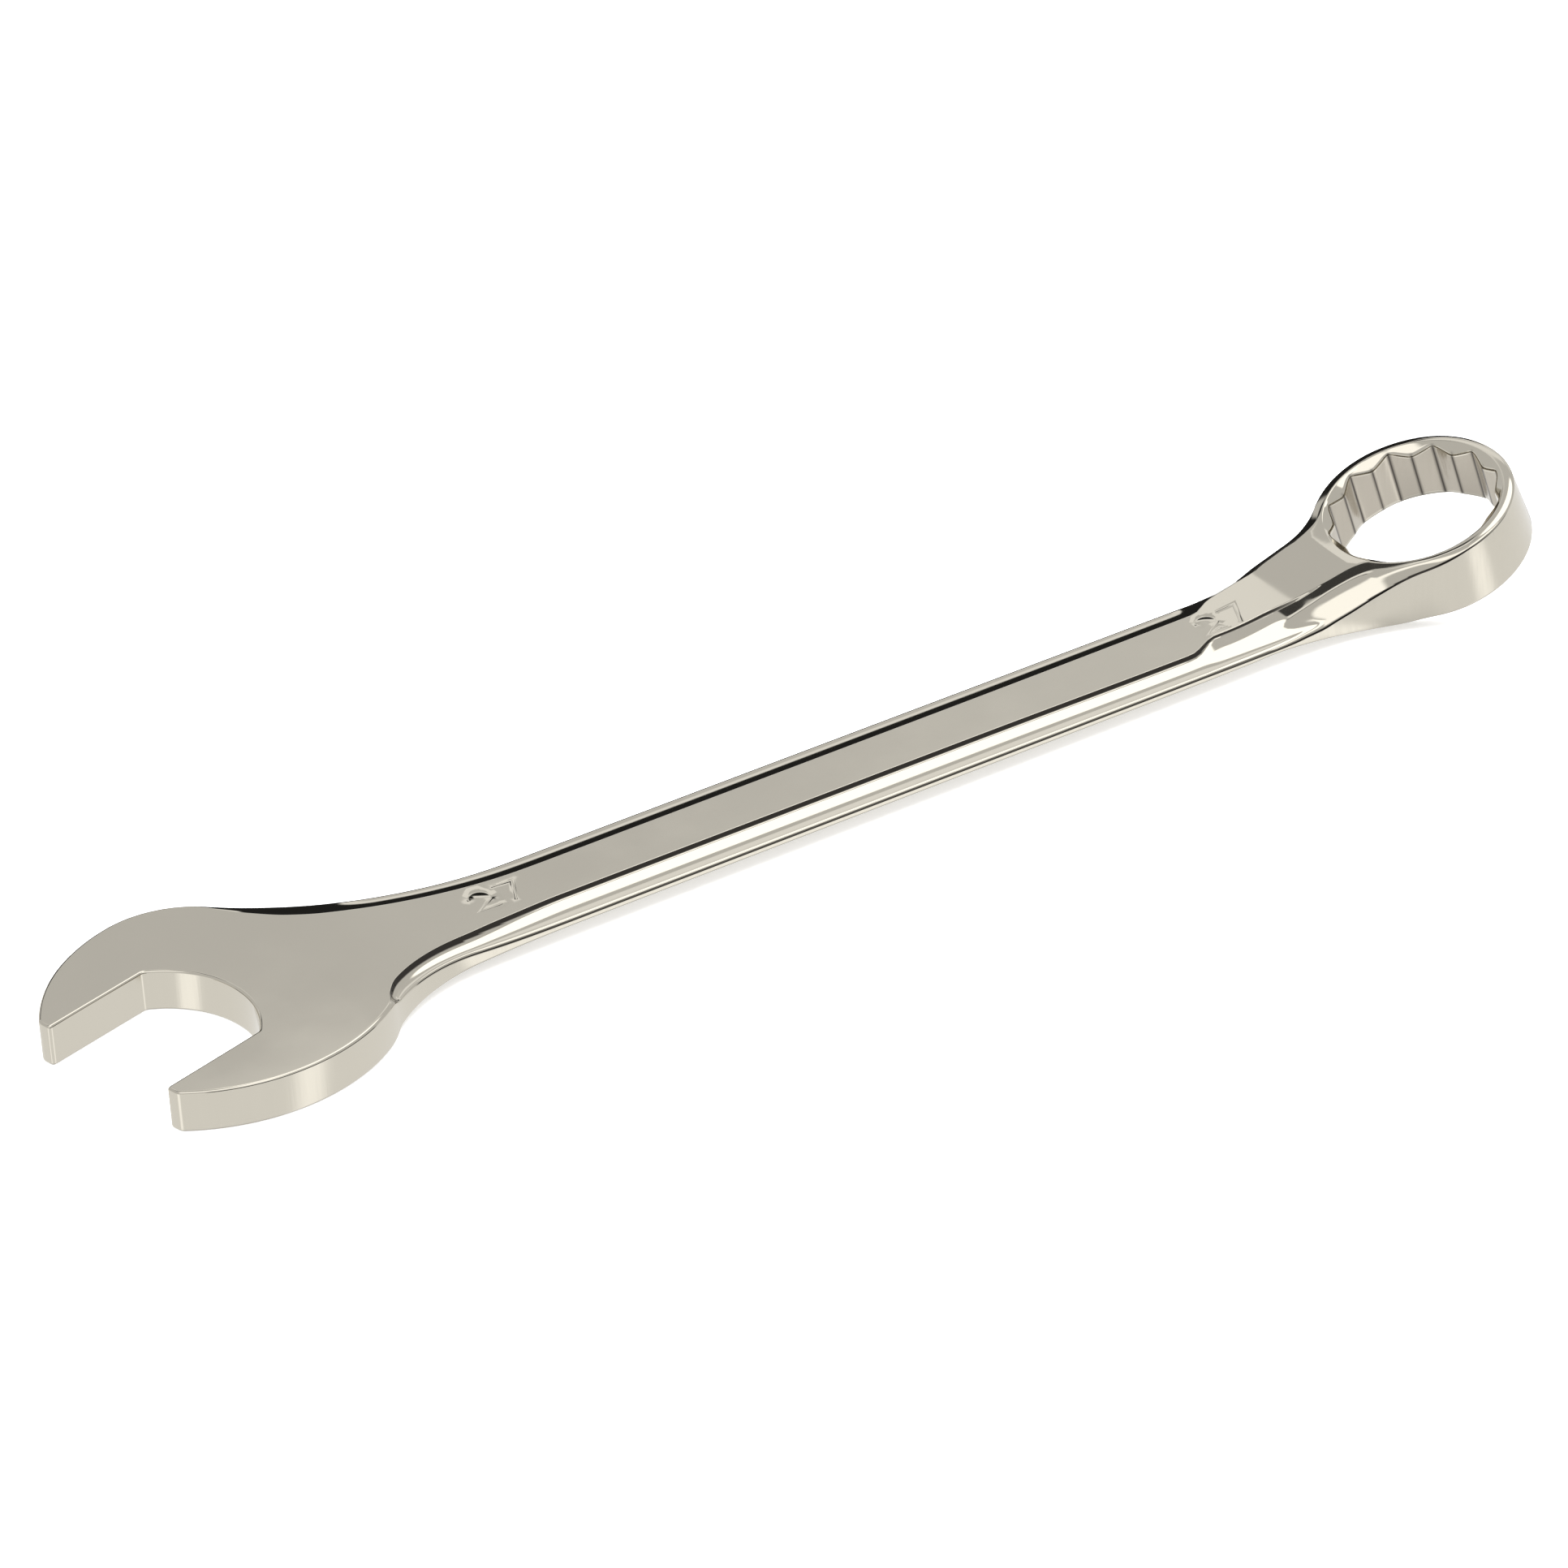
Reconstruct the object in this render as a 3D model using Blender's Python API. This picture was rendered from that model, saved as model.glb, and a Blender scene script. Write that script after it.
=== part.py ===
"""Combination wrench, 27 mm across flats.

The tool is one drop-forged bar of chrome vanadium steel: an open jaw at one end, a
twelve-point ring at the other and a shank with a raised flat panel between hollow flanks.
The bar is drawn flat, its ring end is then bent upwards, and the finished mesh is moved so
that the origin lies under the middle of its box. Lengths are millimetres until that step.

Flat frame: origin at the jaw's centre, on the head's top face. +X runs along the shank to
the ring, +Y to the side of the longer jaw shoulder, +Z up.
"""
import math

import bmesh
import bpy
from mathutils import Vector
from mathutils.geometry import delaunay_2d_cdt

MM = 0.001

# Open jaw, in its own frame: "out" runs out of the mouth, "across" to the far jaw
ACROSS_FLATS = 27.0
JAW_TURN = math.radians(15.0)
JAW_REACH = 12.6
TIP_ROUND = 0.8
THROAT_CENTRE_OUT = 3.7
THROAT_RADIUS = 17.7
CHEEK_RADIUS = 33.4
CHEEK_CENTRE_OUT = -12.9
CHEEK_CENTRE_ACROSS = 5.6
SHOULDER_RADIUS = 17.8
SHOULDER_START = math.radians(105.0)
HEAD_THICKNESS = 7.5
HEAD_EDGE_ROUND = 0.45

# Shank
SHANK_AXIS_Y = 1.4
SHANK_WIDTH = 20.9
SHANK_THICKNESS = 4.6
FLANK_WIDTH = 4.6
FLANK_DROP = 1.5
FAR_NECK_RADIUS = 85.0
NEAR_NECK_RADIUS = 30.0

# Ring
RING_X = 248.4
RING_RADIUS = 18.8
RING_THICKNESS = 11.95
RING_TILT = math.radians(16.0)
FAR_RING_NECK_RADIUS = 18.0
NEAR_RING_NECK_RADIUS = 36.0
RING_NECK_DROP = 2.8
RING_SHOULDER_DROP = 1.8
RING_FOOT_DROP = 1.2
RIM_RADIUS = 15.9
RIM_LAND = 0.3
CHAMFER_SLOPE = 0.75
RIDGE_TURN = math.radians(24.2)
POINTS = 12
BEND_X = 212.3
BEND_LENGTH = 16.0

# (x, value) knots, level beyond both ends
# Width of the flank, from the bar's outline in to the edge of the flat panel
NECK_TO_RING_INSET = [(212.0, FLANK_WIDTH), (220.0, 5.4), (229.0, 8.0)]
FAR_INSET = [(20.0, HEAD_EDGE_ROUND), (24.0, 1.6), (28.0, 3.2), (33.0, 5.1), (38.0, 6.3),
             (50.0, 5.5), (66.0, FLANK_WIDTH)] + NECK_TO_RING_INSET
NEAR_INSET = [(33.5, HEAD_EDGE_ROUND), (35.0, 1.6), (38.0, 2.5), (51.0, 2.9), (58.0, 3.6),
              (72.0, FLANK_WIDTH)] + NECK_TO_RING_INSET
# Drop from the panel to the top of the side wall
FLANK_TO_RING_DROP = [(75.0, FLANK_DROP), (210.0, FLANK_DROP), (226.0, RING_NECK_DROP),
                      (241.0, RING_SHOULDER_DROP)]
FAR_DROP = [(20.0, HEAD_EDGE_ROUND), (27.0, 1.3), (38.0, 2.1), (50.0, 2.1)] + FLANK_TO_RING_DROP
NEAR_DROP = [(33.5, HEAD_EDGE_ROUND), (36.0, 0.75), (44.0, 1.1), (58.0, 1.7)] + FLANK_TO_RING_DROP
# Drop of the panel below the head's top face, and depth of the bar's underside below the panel
PANEL_DROP = (HEAD_THICKNESS - SHANK_THICKNESS) / 2
PANEL_LEVEL = [(25.0, 0.0), (75.0, -PANEL_DROP)]
BAR_DEPTH = [(25.0, HEAD_THICKNESS), (75.0, SHANK_THICKNESS), (208.0, SHANK_THICKNESS),
             (235.0, RING_THICKNESS)]
# How hollow the flank is: 0 is a rounded edge, 1 a full flute
HOLLOWNESS = [(20.0, 0.0), (30.0, 1.0), (212.0, 1.0), (232.0, 0.0)]
NEAR_HOLLOWNESS = [(33.5, 0.0), (37.0, 1.0), (212.0, 1.0), (232.0, 0.0)]
FLUTE_POWER = 2.2

# Mesh density
ARC_STEP = 1.9
SHANK_STEP = 6.0
FLANK_ROWS = 4
CORNER_STEPS = 4
BORE_STEPS = 72


def curve(knots, x):
    """Smooth value at x through the knots, with no overshoot between them."""
    if x <= knots[0][0]:
        return knots[0][1]
    if x >= knots[-1][0]:
        return knots[-1][1]
    slopes = [(b[1] - a[1]) / (b[0] - a[0]) for a, b in zip(knots, knots[1:])]
    span = next(i for i in range(len(slopes)) if x < knots[i + 1][0])

    def tangent(i):
        if i in (0, len(slopes)) or slopes[i - 1] * slopes[i] <= 0:
            return 0.0
        return 2 * slopes[i - 1] * slopes[i] / (slopes[i - 1] + slopes[i])

    (x0, v0), (x1, v1) = knots[span], knots[span + 1]
    width = x1 - x0
    t = (x - x0) / width
    ease = t * t * (3 - 2 * t)
    swing = t * (1 - t) * width
    return v0 + (v1 - v0) * ease + swing * ((1 - t) * tangent(span) - t * tangent(span + 1))


def arc(centre, radius, start, end, step=ARC_STEP):
    """Points on an arc, both ends included."""
    count = max(2, math.ceil(abs(end - start) * radius / step))
    angles = [start + (end - start) * i / count for i in range(count + 1)]
    return [centre + radius * Vector((math.cos(a), math.sin(a))) for a in angles]


def line(start, end, step):
    count = max(1, math.ceil((end - start).length / step))
    return [start.lerp(end, i / count) for i in range(count + 1)]


def corner(before, peak, after):
    """A rounded corner, leaving out its two end points."""
    points = []
    for i in range(1, CORNER_STEPS):
        t = i / CORNER_STEPS
        points.append(before.lerp(peak, t).lerp(peak.lerp(after, t), t))
    return points


def heading(vector):
    return math.atan2(vector.y, vector.x)


def jaw_point(out, across):
    """A point given in the jaw's frame, in the flat frame."""
    out_axis = Vector((-math.cos(JAW_TURN), -math.sin(JAW_TURN)))
    across_axis = Vector((-math.sin(JAW_TURN), math.cos(JAW_TURN)))
    return out * out_axis + across * across_axis


def cheek(side):
    """Centre of one jaw's outer arc, and the corner that the arc makes with the jaw's end."""
    centre_across = -side * CHEEK_CENTRE_ACROSS
    rise = math.sqrt(CHEEK_RADIUS ** 2 - (JAW_REACH - CHEEK_CENTRE_OUT) ** 2)
    centre = jaw_point(CHEEK_CENTRE_OUT, centre_across)
    return centre, jaw_point(JAW_REACH, centre_across + side * rise)


def neck_fillet(centre, radius, side, fillet):
    """Centre of a hollow arc that touches a round end and the shank's straight edge."""
    edge_y = SHANK_AXIS_Y + side * (SHANK_WIDTH / 2 + fillet)
    reach = math.sqrt((radius + fillet) ** 2 - (edge_y - centre.y) ** 2)
    toward_shank = 1 if centre.x < BEND_X / 2 else -1
    return Vector((centre.x + toward_shank * reach, edge_y))


def jaw_end(side):
    """One jaw's end face with its rounded corners, from the outer arc to the flat."""
    centre, outer = cheek(side)
    flat = side * ACROSS_FLATS / 2
    back_turn = TIP_ROUND / CHEEK_RADIUS
    start = heading(outer - centre) - side * back_turn
    on_arc = centre + CHEEK_RADIUS * Vector((math.cos(start), math.sin(start)))
    across = (outer - jaw_point(0, 0)).dot(jaw_point(0, 1))
    face_outer = jaw_point(JAW_REACH, across - side * TIP_ROUND)
    face_inner = jaw_point(JAW_REACH, flat + side * TIP_ROUND)
    on_flat = jaw_point(JAW_REACH - TIP_ROUND, flat)
    points = [on_arc] + corner(on_arc, outer, face_outer) + [face_outer, face_inner]
    return points + corner(face_inner, jaw_point(JAW_REACH, flat), on_flat) + [on_flat]


def head_outline():
    """From the far edge of the shank, round both jaws, to the near edge of the shank."""
    far_centre, _ = cheek(1)
    near_centre, _ = cheek(-1)
    shoulder_turn = Vector((math.cos(SHOULDER_START), math.sin(SHOULDER_START)))
    shoulder = far_centre + (CHEEK_RADIUS - SHOULDER_RADIUS) * shoulder_turn
    far_neck = neck_fillet(shoulder, SHOULDER_RADIUS, 1, FAR_NECK_RADIUS)
    near_neck = neck_fillet(near_centre, CHEEK_RADIUS, -1, NEAR_NECK_RADIUS)
    to_far_neck = heading(far_neck - shoulder)
    to_near_neck = heading(near_neck - near_centre)
    far_end = jaw_end(1)
    near_end = jaw_end(-1)[::-1]
    half = ACROSS_FLATS / 2
    corner_out = THROAT_CENTRE_OUT - math.sqrt(THROAT_RADIUS ** 2 - half ** 2)
    throat_centre = jaw_point(THROAT_CENTRE_OUT, 0)
    far_corner = jaw_point(corner_out, half)
    near_corner = jaw_point(corner_out, -half)
    return (
        arc(far_neck, FAR_NECK_RADIUS, -math.pi / 2, to_far_neck - math.pi)
        + arc(shoulder, SHOULDER_RADIUS, to_far_neck, SHOULDER_START)[1:]
        + arc(far_centre, CHEEK_RADIUS, SHOULDER_START, heading(far_end[0] - far_centre))[1:]
        + far_end[1:]
        + line(far_end[-1], far_corner, ARC_STEP * 2)[1:]
        + arc(throat_centre, THROAT_RADIUS, heading(far_corner - throat_centre),
              heading(near_corner - throat_centre))[1:]
        + line(near_corner, near_end[0], ARC_STEP * 2)[1:]
        + near_end[1:]
        + arc(near_centre, CHEEK_RADIUS, heading(near_end[-1] - near_centre), to_near_neck)[1:]
        + arc(near_neck, NEAR_NECK_RADIUS, to_near_neck + math.pi, math.pi / 2)[1:]
    )


def ring_outline():
    """From the near edge of the shank, round the ring, to the far edge of the shank."""
    centre = Vector((RING_X, SHANK_AXIS_Y))
    near_neck = neck_fillet(centre, RING_RADIUS, -1, NEAR_RING_NECK_RADIUS)
    far_neck = neck_fillet(centre, RING_RADIUS, 1, FAR_RING_NECK_RADIUS)
    near_turn = heading(near_neck - centre)
    far_turn = heading(far_neck - centre)
    return (
        arc(near_neck, NEAR_RING_NECK_RADIUS, math.pi / 2, near_turn + math.pi)
        + arc(centre, RING_RADIUS, near_turn, far_turn)[1:]
        + arc(far_neck, FAR_RING_NECK_RADIUS, far_turn - math.pi, -math.pi / 2)[1:]
    )


def bar_outline():
    """The whole outline of the flat bar, counter-clockwise seen from above."""
    head = head_outline()
    ring = ring_outline()
    near_edge = line(head[-1], ring[0], SHANK_STEP)[1:-1]
    far_edge = line(ring[-1], head[0], SHANK_STEP)[1:-1]
    return head + near_edge + ring + far_edge


def ease(start, end, x):
    t = min(1.0, max(0.0, (x - start) / (end - start)))
    return t * t * (3 - 2 * t)


def panel_edge(outline):
    """The edge of the flat panel: the outline moved inwards by the flank's width.

    It runs into the rim of the ring's bore on both sides and follows it round.
    """
    centre = Vector((RING_X, SHANK_AXIS_Y))
    edge = []
    for i, point in enumerate(outline):
        along = (outline[(i + 1) % len(outline)] - outline[i - 1]).normalized()
        inward = Vector((-along.y, along.x))
        widths = FAR_INSET if point.y > SHANK_AXIS_Y else NEAR_INSET
        on_bar = point + curve(widths, point.x) * inward
        on_ring = centre + (RIM_RADIUS + RIM_LAND) * (point - centre).normalized()
        place = on_bar.lerp(on_ring, ease(228.0, 237.0, point.x))
        if (place - centre).length < RIM_RADIUS + RIM_LAND:
            place = centre + (RIM_RADIUS + RIM_LAND) * (place - centre).normalized()
        edge.append(place)
    return edge


def flank_fall(share, hollowness):
    """Fall from the panel's edge (share 0) to the side wall (share 1), as a part of its drop."""
    rounded = 1 - math.sqrt(max(0.0, 1 - share * share))
    hollow = 1 - (1 - share) ** FLUTE_POWER
    return rounded + (hollow - rounded) * hollowness


def rail_heights(point, share):
    """Heights of the upper and the lower flank at one share of the way to the side wall."""
    far = point.y > SHANK_AXIS_Y
    top = curve(PANEL_LEVEL, point.x)
    base = top - curve(BAR_DEPTH, point.x)
    drop = curve(FAR_DROP if far else NEAR_DROP, point.x)
    foot = drop + (RING_FOOT_DROP - RING_SHOULDER_DROP) * ease(215.0, 236.0, point.x)
    fall = flank_fall(share, curve(HOLLOWNESS if far else NEAR_HOLLOWNESS, point.x))
    return top - drop * fall, base + foot * fall


def bend(x, y, z):
    """Move a point of the flat bar to its place on the bent bar."""
    start = BEND_X - BEND_LENGTH / 2
    radius = BEND_LENGTH / RING_TILT
    turn = RING_TILT * min(1.0, max(0.0, (x - start) / BEND_LENGTH))
    beyond = max(0.0, x - start - BEND_LENGTH)
    before = min(x, start)
    lift = z + PANEL_DROP
    return Vector((
        before + radius * math.sin(turn) + beyond * math.cos(turn) - lift * math.sin(turn),
        y,
        -PANEL_DROP + radius * (1 - math.cos(turn)) + beyond * math.sin(turn)
        + lift * math.cos(turn),
    ))


def bore_radius(angle):
    """Radius of the twelve-point hole: two hexagons laid over each other."""
    pitch = 2 * math.pi / POINTS
    off_ridge = abs((angle - RIDGE_TURN + pitch / 2) % pitch - pitch / 2)
    return ACROSS_FLATS / 2 / math.cos(pitch / 2 + off_ridge)


def rim_circle():
    angles = [RIDGE_TURN + 2 * math.pi * i / BORE_STEPS for i in range(BORE_STEPS)]
    centre = Vector((RING_X, SHANK_AXIS_Y))
    return angles, [centre + RIM_RADIUS * Vector((math.cos(a), math.sin(a))) for a in angles]


def add_ring_of_faces(mesh, rails, closed):
    """Join neighbouring rails, each a loop of vertices, with four-sided faces."""
    pairs = list(zip(rails, rails[1:])) + ([(rails[-1], rails[0])] if closed else [])
    for upper, lower in pairs:
        for i, _ in enumerate(upper):
            j = (i + 1) % len(upper)
            mesh.faces.new((upper[i], lower[i], lower[j], upper[j]))


def add_panels(mesh, edge, rim, top_edge, base_edge, top_rim, base_rim):
    """Fill the flat panel on both faces, between the flanks and the ring's bore."""
    spine = [Vector((x, SHANK_AXIS_Y)) for x in range(18, 230, 4)]
    flat = edge + rim + spine
    loops = [(i, (i + 1) % len(edge)) for i in range(len(edge))]
    loops += [(len(edge) + i, len(edge) + (i + 1) % len(rim)) for i in range(len(rim))]
    _, _, triangles, source, _, _ = delaunay_2d_cdt(flat, loops, [], 1, 1e-6)
    hole = range(len(edge), len(edge) + len(rim))
    top_spine = []
    base_spine = []
    for point in spine:
        top = curve(PANEL_LEVEL, point.x)
        top_spine.append(mesh.verts.new(bend(point.x, point.y, top)))
        base_spine.append(mesh.verts.new(bend(point.x, point.y, top - curve(BAR_DEPTH, point.x))))
    top_verts = top_edge + top_rim + top_spine
    base_verts = base_edge + base_rim + base_spine
    for triangle in triangles:
        indices = [source[i][0] for i in triangle]
        if all(i in hole for i in indices):
            continue
        mesh.faces.new([top_verts[i] for i in indices])
        mesh.faces.new([base_verts[i] for i in reversed(indices)])


def add_bore(mesh, angles, top_rim, base_rim):
    """The bore's wall between its two chamfers, which are cones."""
    upper = []
    lower = []
    panel = -PANEL_DROP
    for angle in angles:
        radius = bore_radius(angle)
        sunk = (RIM_RADIUS - radius) * CHAMFER_SLOPE
        x = RING_X + radius * math.cos(angle)
        y = SHANK_AXIS_Y + radius * math.sin(angle)
        upper.append(mesh.verts.new(bend(x, y, panel - sunk)))
        lower.append(mesh.verts.new(bend(x, y, panel - RING_THICKNESS + sunk)))
    add_ring_of_faces(mesh, [base_rim, lower, upper, top_rim], closed=False)


def forge_bar():
    """The whole bar as one closed mesh."""
    mesh = bmesh.new()
    outline = bar_outline()
    edge = panel_edge(outline)
    shares = [i / FLANK_ROWS for i in range(FLANK_ROWS + 1)]
    upper_rails = []
    lower_rails = []
    for share in shares:
        upper = []
        lower = []
        for inner, outer in zip(edge, outline):
            x, y = inner.lerp(outer, share)
            top, base = rail_heights(outer, share)
            panel = curve(PANEL_LEVEL, outer.x) - curve(PANEL_LEVEL, x)
            depth = curve(BAR_DEPTH, x) - curve(BAR_DEPTH, outer.x)
            upper.append(mesh.verts.new(bend(x, y, top - panel * (1 - share))))
            lower.append(mesh.verts.new(bend(x, y, base - (panel + depth) * (1 - share))))
        upper_rails.append(upper)
        lower_rails.append(lower)
    add_ring_of_faces(mesh, upper_rails + lower_rails[::-1], closed=False)
    angles, rim = rim_circle()
    panel = -PANEL_DROP
    top_rim = [mesh.verts.new(bend(p.x, p.y, panel)) for p in rim]
    base_rim = [mesh.verts.new(bend(p.x, p.y, panel - RING_THICKNESS)) for p in rim]
    add_panels(mesh, edge, rim, upper_rails[0], lower_rails[0], top_rim, base_rim)
    add_bore(mesh, angles, top_rim, base_rim)
    bmesh.ops.recalc_face_normals(mesh, faces=mesh.faces)
    return mesh


def centre_on_base(mesh):
    """Move the origin under the middle of the mesh's box, and scale to metres."""
    low = Vector(min(v.co[k] for v in mesh.verts) for k in range(3))
    high = Vector(max(v.co[k] for v in mesh.verts) for k in range(3))
    origin = Vector(((low.x + high.x) / 2, (low.y + high.y) / 2, low.z))
    for vert in mesh.verts:
        vert.co = (vert.co - origin) * MM


def chrome():
    material = bpy.data.materials.new("polished_chrome")
    material.use_nodes = True
    shader = material.node_tree.nodes["Principled BSDF"]
    shader.inputs["Base Color"].default_value = (0.72, 0.70, 0.66, 1.0)
    shader.inputs["Metallic"].default_value = 1.0
    shader.inputs["Roughness"].default_value = 0.08
    return material


def build():
    for existing in list(bpy.data.objects):
        bpy.data.objects.remove(existing)
    mesh = forge_bar()
    centre_on_base(mesh)
    data = bpy.data.meshes.new("wrench_forging")
    mesh.to_mesh(data)
    mesh.free()
    data.shade_smooth()
    data.set_sharp_from_angle(angle=math.radians(35.0))
    data.materials.append(chrome())
    wrench = bpy.data.objects.new("wrench_forging", data)
    bpy.context.scene.collection.objects.link(wrench)


build()
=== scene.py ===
"""Looks of the 27 mm combination wrench: polished chrome forging on a plain pale floor.

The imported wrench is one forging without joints. Here it is drawn again from the same arcs and
sections, fine enough for a mirror finish, with the small roundings, the rounded bore points and
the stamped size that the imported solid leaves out. Lengths are millimetres in the flat frame
(origin at the jaw's centre on the head's top face, +X to the ring, +Z up) until the last step,
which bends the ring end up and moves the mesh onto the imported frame, in metres.
"""

import math

import bmesh
import bpy
from mathutils import Matrix, Quaternion, Vector
from mathutils.geometry import delaunay_2d_cdt


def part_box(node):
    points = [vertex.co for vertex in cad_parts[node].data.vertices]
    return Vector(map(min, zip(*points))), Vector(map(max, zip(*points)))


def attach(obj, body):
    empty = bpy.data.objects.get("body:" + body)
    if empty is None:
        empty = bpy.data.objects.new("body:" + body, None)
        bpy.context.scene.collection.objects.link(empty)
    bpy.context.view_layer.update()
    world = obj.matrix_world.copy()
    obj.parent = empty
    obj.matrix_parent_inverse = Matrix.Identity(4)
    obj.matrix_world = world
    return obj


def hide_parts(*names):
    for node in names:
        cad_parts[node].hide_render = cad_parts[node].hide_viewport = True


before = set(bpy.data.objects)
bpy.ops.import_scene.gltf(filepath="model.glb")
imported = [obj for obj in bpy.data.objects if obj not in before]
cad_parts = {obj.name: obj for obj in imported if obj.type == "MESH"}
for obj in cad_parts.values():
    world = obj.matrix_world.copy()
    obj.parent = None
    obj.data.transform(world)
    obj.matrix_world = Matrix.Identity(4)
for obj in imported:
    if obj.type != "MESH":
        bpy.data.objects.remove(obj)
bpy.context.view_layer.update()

MM = 0.001

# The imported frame's origin, in the flat frame
FRAME_ORIGIN = Vector((125.981, 3.071, -7.5))

# Open jaw, in its own frame: "out" runs out of the mouth, "across" to the far jaw
ACROSS_FLATS = 27.0
JAW_TURN = math.radians(15.0)
JAW_REACH = 12.6
TIP_ROUND = 0.8
THROAT_CENTRE_OUT = 3.7
THROAT_RADIUS = 17.7
THROAT_CORNER_ROUND = 0.5
CHEEK_RADIUS = 33.4
CHEEK_CENTRE_OUT = -12.9
CHEEK_CENTRE_ACROSS = 5.6
SHOULDER_RADIUS = 17.8
SHOULDER_START = math.radians(105.0)
HEAD_THICKNESS = 7.5
HEAD_EDGE_ROUND = 0.45

# Shank
SHANK_AXIS_Y = 1.4
SHANK_WIDTH = 20.9
SHANK_THICKNESS = 4.6
FLANK_WIDTH = 5.4
FLANK_DROP = 1.5
FAR_NECK_RADIUS = 85.0
NEAR_NECK_RADIUS = 30.0

# Ring
RING_X = 248.4
RING_RADIUS = 18.8
RING_THICKNESS = 11.95
RING_TILT = math.radians(16.0)
FAR_RING_NECK_RADIUS = 15.0
NEAR_RING_NECK_RADIUS = 36.0
RING_SHOULDER_DROP = 0.7
RING_FOOT_DROP = 1.2
RIM_RADIUS = 15.9
RIM_LAND = 0.3
CHAMFER_SLOPE = 0.75
RIDGE_TURN = math.radians(24.2)
POINTS = 12
POINT_SHARPNESS = 0.9
BEND_X = 212.3
BEND_LENGTH = 16.0

# (x, value) knots, level beyond both ends
# Width of the flank, from the bar's outline in to the edge of the flat panel
FAR_INSET = [(20.0, HEAD_EDGE_ROUND), (24.0, 1.8), (28.0, 3.2), (33.0, 4.6), (38.0, 5.2),
             (50.0, FLANK_WIDTH), (150.0, FLANK_WIDTH), (204.0, 5.1), (209.5, 2.7), (216.0, 2.2),
             (221.0, 2.4), (232.0, 2.0)]
NEAR_INSET = [(5.0, HEAD_EDGE_ROUND), (30.0, 0.8), (32.5, 0.95), (34.5, 1.9), (37.5, 2.8),
              (51.0, 3.4), (58.0, 4.3), (72.0, FLANK_WIDTH), (150.0, FLANK_WIDTH), (196.0, 5.1),
              (203.5, 8.0), (213.0, 8.0), (223.0, 6.4), (234.0, 7.4)]
# Drop from the panel to the top of the side wall
FAR_DROP = [(20.0, HEAD_EDGE_ROUND), (27.0, 1.3), (38.0, 1.7), (50.0, 1.7), (75.0, FLANK_DROP),
            (204.0, FLANK_DROP), (210.0, 1.7), (221.0, 1.7), (230.0, 0.9),
            (238.0, RING_SHOULDER_DROP)]
NEAR_DROP = [(5.0, HEAD_EDGE_ROUND), (30.0, 0.6), (34.0, 1.1), (44.0, 1.4), (58.0, 1.7),
             (75.0, FLANK_DROP), (205.0, FLANK_DROP), (216.0, 2.6), (221.0, 3.6), (224.5, 3.7),
             (231.0, 3.0), (236.5, 1.9), (242.0, 1.2), (248.0, RING_SHOULDER_DROP)]
# Rise from the underside to the foot of the side wall, from the shank's middle on
FOOT_RISE = [(210.0, FLANK_DROP), (226.0, 2.0), (241.0, RING_FOOT_DROP)]
FOOT_EASE = (150.0, 205.0)
# Drop of the panel below the head's top face, and depth of the bar's underside below the panel
PANEL_DROP = (HEAD_THICKNESS - SHANK_THICKNESS) / 2
PANEL_LEVEL = [(25.0, 0.0), (75.0, -PANEL_DROP)]
BAR_DEPTH = [(25.0, HEAD_THICKNESS), (75.0, SHANK_THICKNESS), (208.0, SHANK_THICKNESS),
             (235.0, RING_THICKNESS)]
# How hollow the flank is: 0 is a rounded edge, 1 a full flute
FAR_HOLLOWNESS = [(24.0, 0.0), (46.0, 1.0), (215.0, 1.0), (221.0, 0.0), (226.0, 0.0),
                  (232.0, 0.65), (256.0, 0.65), (265.0, 0.0)]
NEAR_HOLLOWNESS = [(32.0, 0.0), (34.5, 1.0), (236.0, 1.0), (245.0, 0.0)]
# Where the near flank's section changes: narrow flute, flute, ledge, shoulder
TONGUE_EASE = (62.0, 46.0)
LEDGE_EASE = (197.0, 203.5)
SHOULDER_EASE = (214.0, 225.0)
# Where the far flank's flute gives way to a plain bevel, and that to a rounded edge
BEVEL_EASE = (203.0, 209.0)
# Rounding of the bore's rim: (outwards from the rim's radius, down)
RIM_ROUND = [(0.12, 0.0), (0.05, 0.015), (-0.03, 0.06), (-0.12, 0.13)]
# Rounding between the chamfer and the wall: its size, its share of the room there, how much
# deeper than wide it is, and the steps along it
POINT_ROUND = 0.55
POINT_ROUND_SHARE = 0.6
POINT_ROUND_DEPTH = 1.2
POINT_ROUND_STEPS = 5
# Half width of the painted shade lines on the bore's ridges and corners
PAINTED_SHADE_SPREAD = math.radians(1.1)
# Where the flanks run into the ring
RING_EASE = (228.0, 237.0)
# The ring's wall leans in by its draft towards the top
DRAFT_EASE = (222.0, 240.0)
RING_DRAFT = 0.9

# The flute's section: (share of its width, slope), with a small step below the panel's edge
FLUTE_SLOPES = [(0.0, 0.0), (0.025, 1.75), (0.09, 1.75), (0.135, 0.84), (0.2, 0.6), (0.26, 0.5),
                (0.45, 0.3), (0.66, 0.15), (0.85, 0.04), (1.0, 0.0)]
# The ledge's section: a thin step, a nearly level ledge, then a slope to the wall
LEDGE_SLOPES = [(0.0, 0.0), (0.012, 3.0), (0.05, 3.0), (0.065, 0.2), (0.4, 0.2), (0.48, 0.45),
                (0.58, 0.75), (0.72, 0.7), (0.85, 0.4), (0.95, 0.1), (1.0, 0.0)]
# The narrow flute's section at the head, with a wider step
TONGUE_SLOPES = [(0.0, 0.0), (0.05, 1.8), (0.22, 1.8), (0.32, 0.8), (0.5, 0.5), (0.7, 0.3),
                 (0.9, 0.05), (1.0, 0.0)]
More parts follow.
